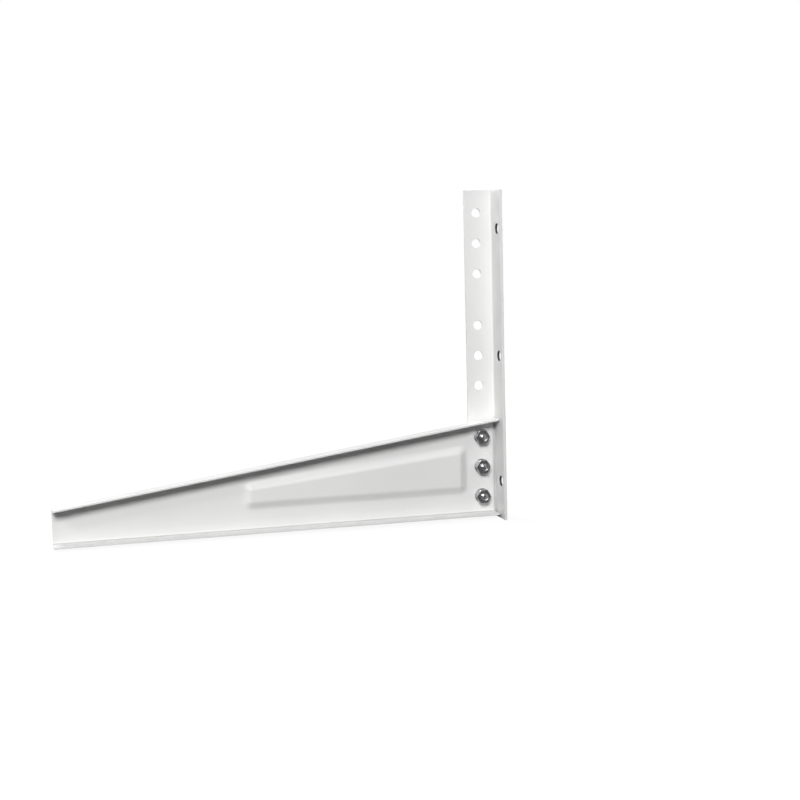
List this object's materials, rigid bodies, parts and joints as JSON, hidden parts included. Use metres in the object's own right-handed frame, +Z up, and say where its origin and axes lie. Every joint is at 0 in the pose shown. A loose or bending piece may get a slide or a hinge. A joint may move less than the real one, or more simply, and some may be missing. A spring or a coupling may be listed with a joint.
{
  "type": "air conditioner outdoor unit bracket",
  "caption": "White folded-steel wall bracket: an upright angle with bolt and wall holes, and a tapered channel arm with a pressed stiffening panel, held by cross-recess screws and nuts.",
  "frame": {"origin": "centre of the middle wall hole, in the face of the wall leg that lies on the wall", "axes": "the wall is the plane X = 0 and the arm reaches from it along -X; +Z is up along the upright; +Y goes to the outer face of the side leg, where the screw heads are"},
  "size_m": [0.44, 0.0371, 0.326],
  "materials": {
    "paint": "semi-matt white powder coat",
    "zinc": "bright zinc plating"
  },
  "bodies": {
    "root": {"upright": "paint", "arm": "paint", "screw_top": "zinc", "screw_middle": "zinc", "screw_bottom": "zinc", "washer_top": "zinc", "washer_middle": "zinc", "washer_bottom": "zinc", "lock_washer_top": "zinc", "lock_washer_middle": "zinc", "lock_washer_bottom": "zinc", "nut_top": "zinc", "nut_middle": "zinc", "nut_bottom": "zinc"}
  },
  "joints": []
}
